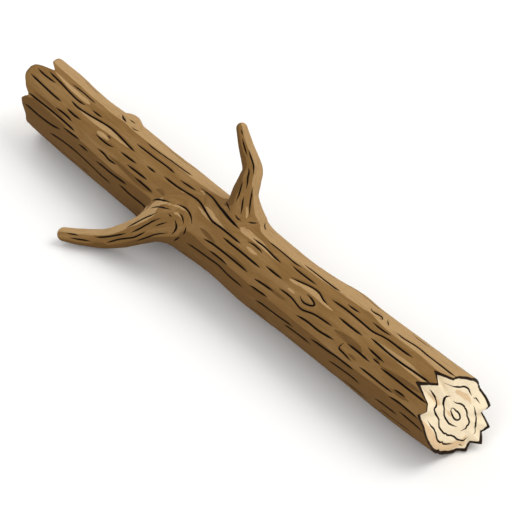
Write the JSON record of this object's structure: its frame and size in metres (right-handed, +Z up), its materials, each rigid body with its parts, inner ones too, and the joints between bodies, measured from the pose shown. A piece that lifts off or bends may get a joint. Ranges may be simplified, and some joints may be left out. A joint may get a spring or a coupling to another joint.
{
  "type": "fallen tree branch",
  "caption": "Fallen branch of furrowed bark, nearly straight, torn off at both ends, with curved dead side limbs, lying on the ground.",
  "frame": {"origin": "centre of the bounding box, on the ground that the branch lies on", "axes": "+X runs along the stem to its thick, freshly broken end, +Z is up, and the lower side limb leaves on the -Y side"},
  "size_m": [0.828, 0.1874, 0.1865],
  "materials": {
    "bark": "rough brown furrowed bark, with pale torn wood across both broken ends"
  },
  "bodies": {
    "root": {"main_stem": "bark", "lower_side_limb": "bark", "upper_side_limb": "bark"}
  },
  "joints": []
}
